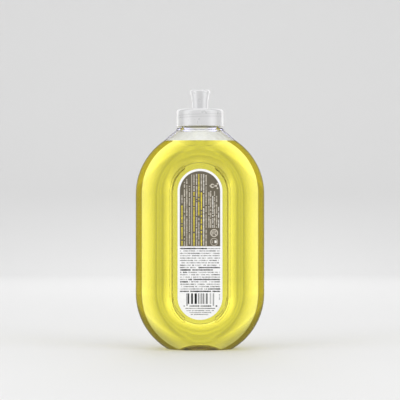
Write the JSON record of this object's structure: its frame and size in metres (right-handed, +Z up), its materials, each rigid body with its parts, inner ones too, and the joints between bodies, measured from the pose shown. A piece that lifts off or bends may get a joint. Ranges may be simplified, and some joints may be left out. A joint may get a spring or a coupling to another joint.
{
  "type": "floor cleaner bottle",
  "caption": "Clear ring-shaped plastic bottle of yellow floor cleaner with recessed label panels, a translucent screw cap and a push-pull nozzle.",
  "frame": {"origin": "middle of the base, on the surface that the bottle stands on", "axes": "+Z up through the neck, X across the broad sides, -Y out of the side with the back label"},
  "size_m": [0.1164, 0.0464, 0.2344],
  "materials": {
    "clear_shell": "clear, glossy",
    "yellow_liquid": "clear yellow liquid",
    "cap_plastic": "translucent natural plastic",
    "seal_foam": "soft white foam",
    "nozzle_plastic": "translucent natural plastic",
    "label_white": "smooth white film",
    "print_taupe": "flat ink",
    "print_cream": "flat ink",
    "print_yellow": "flat ink",
    "print_grey": "flat ink",
    "print_black": "flat ink"
  },
  "bodies": {
    "bottle": {"bottle": "clear_shell", "liquid_fill": "yellow_liquid", "back_label": "label_white", "front_label": "label_white", "print_panel": "print_taupe", "print_light": "print_cream", "print_yellow": "print_yellow", "print_rows": "print_grey", "print_barcode": "print_black"},
    "cap_lift": {"neck_seal": "seal_foam"},
    "cap": {"cap": "cap_plastic"},
    "nozzle": {"nozzle": "nozzle_plastic"}
  },
  "joints": [
    {"name": "cap_rise", "type": "slide", "parent": "bottle", "child": "cap_lift", "axis": [0, 0, 1], "range_m": [0, 0.00635]},
    {"name": "cap_turn", "type": "hinge", "parent": "cap_lift", "child": "cap", "pos_m": [0, 0, 0.2013], "axis": [0, 0, 1], "range_deg": [0, 540]},
    {"name": "nozzle_pull", "type": "slide", "parent": "cap", "child": "nozzle", "axis": [0, 0, 1], "range_m": [0, 0.006]}
  ],
  "couplings": [
    {"joint": "cap_rise", "follows": "cap_turn", "m_per_rad": 0.00067323}
  ]
}
